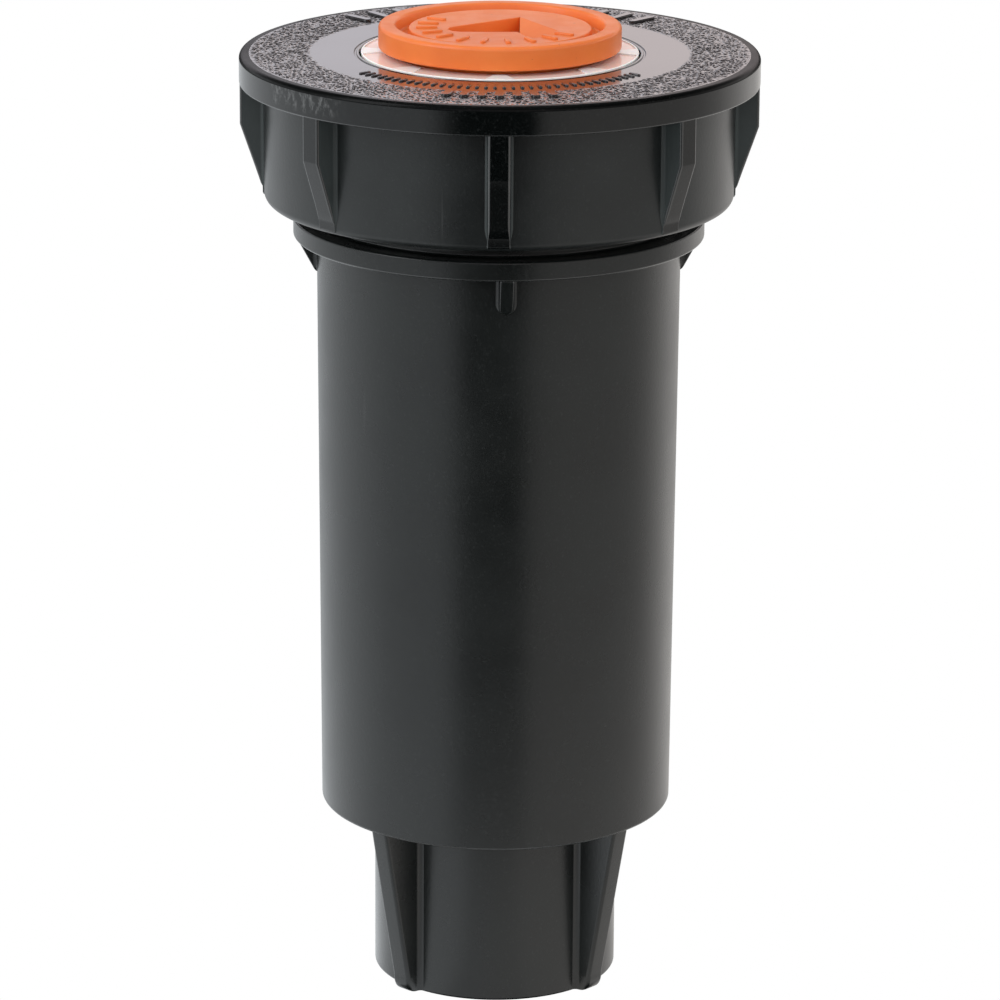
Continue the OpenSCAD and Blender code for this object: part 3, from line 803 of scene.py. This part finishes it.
def build_ring():
    s = Shape()
    pale, painted_glow = range(2)
    r_in, r_out, r_lip = RISER_R + 0.15, HUB_IN - 0.05, OPEN_R - 0.18
    dish, under = CAP_TOP - 0.02, CAP_TOP - 1.32
    outline = rounded([
        (r_lip - 0.5, under), (r_lip - 0.5, RING_LOW, 0.05), (r_out, RING_LOW, 0.1),
        (r_out, CAP_TOP - 2.05, 0.1), (r_lip, CAP_TOP - 2.05), (r_lip, RING_LIP, 0.06),
        (r_lip - 0.22, RING_LIP, 0.06), (r_lip - 0.24, dish, 0.05), (r_in, dish, 0.12),
        (r_in, RING_LOW, 0.1), (r_in + 1, RING_LOW, 0.1), (r_in + 1, under, 0.3),
        (r_lip - 0.5, under)
    ])
    # The dish gets the pink plastic: a painted orange glow from the plug above it.
    add_lathe(s, outline, lambda r, z: painted_glow if abs(z - dish) < 0.01 and r < r_lip - 0.3 else pale)
    lug_in, lug_out = (12.6, 0.65), (r_lip - 0.15, 1.68)
    plan = [(lug_in[0], -lug_in[1]), (lug_out[0], -lug_out[1]), lug_out, lug_in]
    plan = smooth_loop(plan, [0.2, 0.05, 0.05, 0.2], 3)
    verts, faces = soft_block(plan, dish - 0.2, CAP_TOP + 0.12, 0.05)
    for i in range(LUG_COUNT):
        s.add(turn_about(verts, 360 / LUG_COUNT * i - 90), faces)
    s.build("seal_ring_body", "cap", [MAT_PALE, MAT_DISH_GLOW], "seal_ring")


# ---------------------------------------------------------------- plug

def smooth_loop(points, radii, n=4):
    """A closed plan outline with its corners rounded."""
    out = []
    m = len(points)
    for i in range(m):
        sub = [points[i - 1], (*points[i], radii[i]), points[(i + 1) % m]]
        out += rounded(sub, n)[1:-1]
    return out


def offset_open(points, d):
    """Moves an open line of points sideways by d, to its right."""
    out = []
    for i in range(len(points)):
        a = np.array(points[max(i - 1, 0)])
        b = np.array(points[min(i + 1, len(points) - 1)])
        t = (b - a) / max(np.linalg.norm(b - a), 1e-9)
        out.append((points[i][0] + t[1] * d, points[i][1] - t[0] * d))
    return out


def between(a, b, t):
    """The point a part t of the way from a to b."""
    return a[0] + (b[0] - a[0]) * t, a[1] + (b[1] - a[1]) * t


# The pocket's corners: a flat-floored tail from A round to B, and a head B-D-C-A whose floor slopes up.
POCKET_A = (2.2, 5.6)
POCKET_B = (2.0, -2.65)
POCKET_C = (7.2, -3.5)
POCKET_D = (3.3, -6.3)
TAIL_CENTRE = (-4.1, -1.15)
TAIL_R = 1.55
DEEP = 1.9


def ramp_depth(x, y):
    """Depth of the pocket's sloping floor under the plug's face: nothing on the line from A to C."""
    ax, ay = POCKET_A[0] - POCKET_C[0], POCKET_A[1] - POCKET_C[1]

    def off_line(px, py):
        return ((px - POCKET_C[0]) * -ay + (py - POCKET_C[1]) * ax) / math.hypot(ax, ay)

    return max(0.0, DEEP * off_line(x, y) / off_line(*POCKET_B))


def pocket_walls(shape, line, depth_at):
    """Soft-edged walls down one side of the pocket, and the loops at its top and foot."""
    loops = []
    for off, level, from_floor in ((0.14, 0.0, False), (0.05, 0.03, False), (0.0, 0.13, False),
                                   (0.0, 0.12, True), (-0.04, 0.03, True), (-0.12, 0.0, True)):
        pts = []
        for moved, base in zip(offset_open(line, off), line):
            depth = depth_at(*base)
            squeeze = min(1.0, depth / 0.3)
            drop = (depth - level * squeeze) if from_floor else level * squeeze
            pts.append((*between(base, moved, squeeze if from_floor else 1), PLUG_FACE - drop))
        loops.append(pts)
    shape.add([p for loop in loops for p in loop], sheet(len(loops), len(line)))
    return loops[0], loops[-1]


def fill(shape, loops, keep):
    """Fills between closed loops with triangles whose centre passes keep(x, y)."""
    pts = [p for loop in loops for p in loop]
    edges, base = [], 0
    for loop in loops:
        m = len(loop)
        edges += [(base + i, base + (i + 1) % m) for i in range(m)]
        base += m
    flat = [Vector((p[0], p[1])) for p in pts]
    out, _, tris, source, _, _ = geometry.delaunay_2d_cdt(flat, edges, [], 0, 1e-6)
    heights = [pts[src[0]][2] if src else PLUG_FACE for src in source]
    verts = [(p.x, p.y, h) for p, h in zip(out, heights)]
    faces = []
    for t in tris:
        cx = sum(out[i].x for i in t) / 3
        cy = sum(out[i].y for i in t) / 3
        if keep(cx, cy):
            faces.append(tuple(t))
    shape.add(verts, faces)


def inside(loop, x, y):
    """Whether a point is inside a closed loop, by counting crossings."""
    hit = False
    for i in range(len(loop)):
        (x1, y1), (x2, y2) = loop[i - 1][:2], loop[i][:2]
        if (y1 > y) != (y2 > y) and x < (x2 - x1) * (y - y1) / (y2 - y1) + x1:
            hit = not hit
    return hit


def pocket_lines():
    """The plans of the pocket's tail and head, each an open line between A and B."""
    bend = [(TAIL_CENTRE[0] + TAIL_R * math.cos(math.radians(a)),
             TAIL_CENTRE[1] + TAIL_R * math.sin(math.radians(a))) for a in range(127, 271, 11)]
    tail = [POCKET_A, between(POCKET_A, bend[0], 0.04), between(POCKET_A, bend[0], 0.5), *bend,
            between(bend[-1], POCKET_B, 0.5), POCKET_B]
    head = smooth_loop([POCKET_B, POCKET_D, POCKET_C, POCKET_A], [0.01, 0.5, 0.35, 0.01])
    start = min(range(len(head)), key=lambda i: math.dist(head[i], POCKET_B))
    head = head[start:] + head[:start]
    stop = min(range(len(head)), key=lambda i: math.dist(head[i], POCKET_A))
    return tail, [POCKET_B] + head[1:stop] + [POCKET_A]


def plug_pocket(shape):
    """The arrow-shaped pull pocket, and the plug's face round it."""
    tail, head = pocket_lines()
    top_tail, low_tail = pocket_walls(shape, tail, lambda x, y: DEEP)
    top_head, low_head = pocket_walls(shape, head, ramp_depth)
    mouth = top_tail[:-1] + top_head[:-1]
    rim = [(x, y, PLUG_FACE) for x, y in circle(FACE_EDGE, SEGS)]
    fill(shape, [rim, mouth], lambda x, y: not inside(mouth, x, y))
    fill(shape, [low_tail], lambda x, y: inside(low_tail, x, y))
    fill(shape, [low_head], lambda x, y: inside(low_head, x, y))
    floor = PLUG_FACE - DEEP
    shape.add([(*POCKET_A, PLUG_FACE), (*POCKET_A, floor), (*POCKET_B, floor)], [(0, 1, 2)])


def build_plug():
    s = Shape()
    outline = rounded([
        (FACE_EDGE, PLUG_FACE), (FACE_R, PLUG_FACE, 0.2), (FACE_R + 0.12, MOAT_FLOOR, 0.3),
        (11.35, MOAT_FLOOR, 0.3), (11.5, PLUG_TOP, 0.35), (PLUG_R, PLUG_TOP, 0.45),
        (PLUG_R, PLUG_LOW, 0.25), (STEM_R, PLUG_LOW, 0.3), (STEM_R, STEM_LOW, 0.2),
        (SPIGOT_R, STEM_LOW, 0.3), (SPIGOT_R, O_GROOVE[1], 0.1), (O_GROOVE_R, O_GROOVE[1]),
        (O_GROOVE_R, O_GROOVE[0]), (SPIGOT_R, O_GROOVE[0], 0.1), (SPIGOT_R, SPIGOT_LOW, 0.6),
        (HOLLOW_R, SPIGOT_LOW, 0.3), (HOLLOW_R, HOLLOW_TOP, 0.6), (0.001, HOLLOW_TOP)
    ], 5)
    s.add(*lathe(outline))
    plug_pocket(s)
    verts, faces = pill_bar(2.4, 0.6, 0.25, 0.12)
    for i in range(11):
        s.add(turn_about(lift(verts, 6.9, PLUG_FACE), 150 + 18 * i), faces)
    s.build("plug_body", "plug", [MAT_ORANGE], "flush_plug", merge=0.002)


# ---------------------------------------------------------------- riser and spring

def build_riser():
    s = Shape()
    outline = rounded([
        (RISER_BORE, RISER_LOW), (RISER_FOOT_R, RISER_LOW, 0.2), (RISER_FOOT_R, FLANGE_FOOT),
        (RISER_FLANGE_R, FLANGE_FOOT, 0.5), (RISER_FLANGE_R, TEETH_ROOT, 0.2),
        (RISER_R, TEETH_ROOT, 0.4), (RISER_R, SHOULDER, 0.45), (RISER_NECK_R, SHOULDER, 0.3),
        (RISER_NECK_R, RISER_TOP, 0.35), (RISER_BORE, RISER_TOP, 0.25), (RISER_BORE, RISER_LOW)
    ])
    s.add(*lathe(outline))
    section = ridge([(10.2, 0.52), (10.55, 0.46), (11.3, 0.24), (11.35, 0.18)])
    thread(s, section, NECK_PITCH, NECK_TURNS, SHOULDER + 1)
    tooth = [(-1.5, -0.05), (-0.12, 0.75), (0.12, 0.75), (1.5, -0.05)]
    verts = [(x, y, TEETH_ROOT + z) for x in (12.6, 15.4) for y, z in tooth]
    faces = [(0, 1, 5, 4), (1, 2, 6, 5), (2, 3, 7, 6), (3, 2, 1, 0), (4, 5, 6, 7)]
    for i in range(TEETH):
        s.add(turn_about(verts, 360 / TEETH * i), faces)
    s.build("riser_body", "riser", [MAT_RISER], "riser")


def build_spring():
    """A coil whose first and last turns lie flat; it rides on the spring pack's body."""
    s = Shape()
    length = WASHER_LOW - SPRING_LOW
    gap = (length - 3 * WIRE) / (COILS - 2)
    per_turn, sides = 72, 14
    n = COILS * per_turn
    verts = []
    for i in range(n + 1):
        t = i / per_turn
        if t < 1:
            z = WIRE * t
        elif t > COILS - 1:
            z = length - WIRE * (COILS - t + 1)
        else:
            z = WIRE + gap * (t - 1)
        a = FULL_TURN * t
        for x, y in circle(WIRE / 2, sides):
            r = COIL_R + x
            verts.append((r * math.cos(a), r * math.sin(a), SPRING_LOW + WIRE / 2 + z + 0.98 * y))
    ends = [tuple(reversed(range(sides))), tuple(n * sides + j for j in range(sides))]
    s.add(verts, tube(n + 1, sides) + ends)
    coil = s.build("retract_spring_coil", "spring_pack", [MAT_STEEL], "retract_spring", 60)
    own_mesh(coil)


build_case()
build_cap()
build_ring()
build_plug()
build_riser()
build_spring()

# The other six pieces keep the CAD's own shapes and get a material each.
for name, mat in (("wiper_seal", MAT_RUBBER), ("cap_gasket", MAT_RUBBER), ("base_seal", MAT_RUBBER),
                  ("plug_o_ring", MAT_RUBBER), ("spring_washer", MAT_GREY), ("ratchet_ring", MAT_GREY)):
    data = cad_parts[name].data
    data.materials.clear()
    data.materials.append(mat)
    for p in data.polygons:
        p.use_smooth = True
    data.set_sharp_from_angle(angle=math.radians(30))


# ---------------------------------------------------------------- studio

FLOOR_HALF = 3.0
FLOOR_LOW = -0.05 * MM
MIDDLE = (0, 0, 0.06)
CAMERA_PLACE = (0, -0.57244, CAP_TOP * MM + 0.11755)
CAMERA_DOWN = 16.45
CAMERA_ROLL = 0.35
CAMERA_LENS = 190.3
CAMERA_SHIFT = 0.0028

# Brightness seen by reflections, by direction round the object: 0 degrees is towards the camera and
# positive is to its right. The floor uses the whole curve. The room above the horizon uses the parts
# past 90 degrees, and repeats them in front, so that the front and back are lit alike.
GLOW = [(-180, 0.75), (-150, 0.85), (-124, 1.02), (-96, 1.12), (-66, 0.92), (-44, 0.88), (-34, 0.86),
        (-30, 0.74), (-24, 0.4), (-18, 0.08), (-13, 0.0), (0, 0.0), (12, 0.0), (17, 0.3), (23, 0.58),
        (42, 0.66), (62, 0.66), (87, 0.66), (106, 0.78), (120, 1.0), (135, 1.05), (150, 0.85), (180, 0.75)]
GLOW_MAX = 1.5
COOL = (0.96, 1.0, 1.03)
WARM = (1.03, 1.0, 0.97)
PINKISH = (1.03, 0.95, 0.98)

# Levels: the light that falls on the object from the horizon and from overhead; what reflections see
# of the floor near the object, of the room low down behind and in front, and of the room overhead.
DIFFUSE_LEVEL = 1.5
ZENITH_LEVEL = 0.75
NEAR_LEVEL = 0.88
BEHIND_LEVEL = 0.2
OVERHEAD_LEVEL = 0.06


def area_light(name, loc, size, power, color=(1, 1, 1)):
    """A rectangular light that points at the middle of the object."""
    data = bpy.data.lights.new(name, "AREA")
    data.shape = "RECTANGLE"
    data.size, data.size_y = size
    data.energy = power
    data.color = color
    obj = bpy.data.objects.new(name, data)
    obj.location = loc
    obj.rotation_mode = "QUATERNION"
    obj.rotation_quaternion = (Vector(MIDDLE) - Vector(loc)).to_track_quat("-Z", "Y")
    bpy.context.scene.collection.objects.link(obj)


def glow_round(nt, x, y):
    """The level and tint seen in a direction, and how far it is to the right, from 0 to 1."""
    azimuth = math_node(nt, "ARCTAN2", x, multiply(nt, y, -1.0))
    turn = math_node(nt, "ADD", math_node(nt, "DIVIDE", azimuth, FULL_TURN), 0.5)
    curve = nt.nodes.new("ShaderNodeFloatCurve")
    points = curve.mapping.curves[0].points
    while len(points) < len(GLOW):
        points.new(0.5, 0.5)
    for p, (deg, level) in zip(points, GLOW):
        p.location = ((deg + 180) / 360, level / GLOW_MAX)
        p.handle_type = "AUTO_CLAMPED"
    curve.mapping.update()
    nt.links.new(turn, curve.inputs["Value"])
    level = multiply(nt, curve.outputs["Value"], GLOW_MAX)
    right = smooth_step(nt, azimuth, math.radians(-40), math.radians(40))
    return level, mix_color(nt, right, COOL, WARM), right


def emission(nt, color, strength):
    """A glowing shader; each input is a value or a link."""
    glow = nt.nodes.new("ShaderNodeEmission")
    for sock, v in ((glow.inputs["Color"], color), (glow.inputs["Strength"], strength)):
        if isinstance(v, (tuple, float)):
            sock.default_value = v
        else:
            nt.links.new(v, sock)
    return glow.outputs[0]


def mix_shader(nt, fac, a, b):
    mix = nt.nodes.new("ShaderNodeMixShader")
    for sock, v in zip(mix.inputs, (fac, a, b)):
        nt.links.new(v, sock)
    return mix.outputs[0]


def floor_glow(nt, geo):
    """What reflections see of the floor: bright close by, then the room's own level, fading far off."""
    xyz = split(nt, geo.outputs["Position"])
    level, tint, right = glow_round(nt, xyz["X"], xyz["Y"])
    flat = nt.nodes.new("ShaderNodeCombineXYZ")
    nt.links.new(xyz["X"], flat.inputs[0])
    nt.links.new(xyz["Y"], flat.inputs[1])
    length = nt.nodes.new("ShaderNodeVectorMath")
    length.operation = "LENGTH"
    nt.links.new(flat.outputs[0], length.inputs[0])
    away = length.outputs["Value"]
    far = smooth_step(nt, away, 0.02, 0.2)
    boost = math_node(nt, "SUBTRACT", 0.45, multiply(nt, right, 0.3))
    near = math_node(nt, "ADD", multiply(nt, level, boost), NEAR_LEVEL)
    steep = smooth_step(nt, split(nt, geo.outputs["Incoming"])["Z"], 0.66, 0.8, 1.0, 0.0)
    near = multiply(nt, near, steep, math_node(nt, "SUBTRACT", 1.0, far))
    level = multiply(nt, level, smooth_step(nt, away, 0.5, 0.9, 1.0, 0.1), far)
    return emission(nt, tint, math_node(nt, "ADD", near, level))


def floor_paper():
    """Pale paper, dark in front in reflections, and clear from below so that the underside can be seen."""
    mat, nt, bsdf = principled("floor_paper", (0.93, 0.93, 0.93), 0.9, 0.1)
    grain = noise_tex(nt, coords(nt), 3, 3)
    nt.links.new(ramp(nt, grain, [(0.3, (0.925,) * 3), (0.7, (0.945,) * 3)]), bsdf.inputs["Base Color"])
    geo = nt.nodes.new("ShaderNodeNewGeometry")
    path = nt.nodes.new("ShaderNodeLightPath")
    white = emission(nt, (1.0, 1.0, 1.0, 1.0), 1.0)
    clear = nt.nodes.new("ShaderNodeBsdfTransparent").outputs[0]
    look = mix_shader(nt, path.outputs["Is Glossy Ray"], bsdf.outputs[0], floor_glow(nt, geo))
    look = mix_shader(nt, path.outputs["Is Camera Ray"], look, white)
    look = mix_shader(nt, geo.outputs["Backfacing"], look, clear)
    nt.links.new(look, nt.nodes["Material Output"].inputs["Surface"])
    return mat


def room():
    """A white room, brighter at the horizon than overhead.

    Reflections see it bright at the sides, in front and behind, and dark overhead.
    """
    world = bpy.data.worlds.new("studio")
    world.use_nodes = True
    nt = world.node_tree
    back = nt.nodes["Background"]
    tex = nt.nodes.new("ShaderNodeTexCoord")
    xyz = split(nt, tex.outputs["Generated"])
    across = math_node(nt, "ABSOLUTE", xyz["Y"])
    level, tint, _ = glow_round(nt, xyz["X"], across)
    behind = smooth_step(nt, across, 0.7, 0.88)
    level = math_node(nt, "ADD", level, multiply(nt, behind, BEHIND_LEVEL))
    haze = smooth_step(nt, xyz["Z"], 0.1, 0.18, 1.0, 0.0)
    level = multiply(nt, level, math_node(nt, "SUBTRACT", 1.0, multiply(nt, haze, behind)))
    height = math_node(nt, "SUBTRACT", xyz["Z"], multiply(nt, behind, 0.22))
    up = smooth_step(nt, height, 0.2, 0.36)
    low = multiply(nt, math_node(nt, "SUBTRACT", 1.0, up), level)
    level = math_node(nt, "ADD", multiply(nt, up, OVERHEAD_LEVEL), low)
    shiny = mix_color(nt, 1.0, tint, level, "MULTIPLY")
    shiny = mix_color(nt, behind, shiny, mix_color(nt, 1.0, shiny, PINKISH, "MULTIPLY"))
    path = nt.nodes.new("ShaderNodeLightPath")
    even = smooth_step(nt, xyz["Z"], 0.25, 0.95, DIFFUSE_LEVEL, ZENITH_LEVEL)
    col = mix_color(nt, path.outputs["Is Glossy Ray"], even, shiny)
    col = mix_color(nt, path.outputs["Is Camera Ray"], col, (1.0, 1.0, 1.0))
    nt.links.new(col, back.inputs["Color"])
    back.inputs["Strength"].default_value = 1.0
    bpy.context.scene.world = world


def studio():
    mesh = bpy.data.meshes.new("floor")
    corners = [(-1, -1), (1, -1), (1, 1), (-1, 1)]
    mesh.from_pydata([(x * FLOOR_HALF, y * FLOOR_HALF, FLOOR_LOW) for x, y in corners], [], [(0, 1, 2, 3)])
    mesh.materials.append(floor_paper())
    floor = bpy.data.objects.new("floor", mesh)
    bpy.context.scene.collection.objects.link(floor)
    room()
    area_light("left_box", (-0.45, -0.25, 0.4), (0.3, 0.5), 1.3, (0.96, 0.98, 1.0))
    area_light("top_box", (0.0, 0.1, 0.8), (0.7, 0.7), 0.4)


def camera():
    """The photo's viewpoint, with true colours."""
    cam = bpy.data.cameras.new("camera")
    cam.sensor_width = 36
    cam.lens = CAMERA_LENS
    cam.shift_x = CAMERA_SHIFT
    cam.clip_start, cam.clip_end = 0.01, 20
    obj = bpy.data.objects.new("camera", cam)
    obj.location = CAMERA_PLACE
    obj.rotation_mode = "ZYX"
    obj.rotation_euler = (math.radians(90 - CAMERA_DOWN), 0, math.radians(CAMERA_ROLL))
    bpy.context.scene.collection.objects.link(obj)
    bpy.context.scene.camera = obj
    settings = bpy.context.scene.view_settings
    settings.view_transform = "Standard"
    settings.look = "None"


studio()
camera()
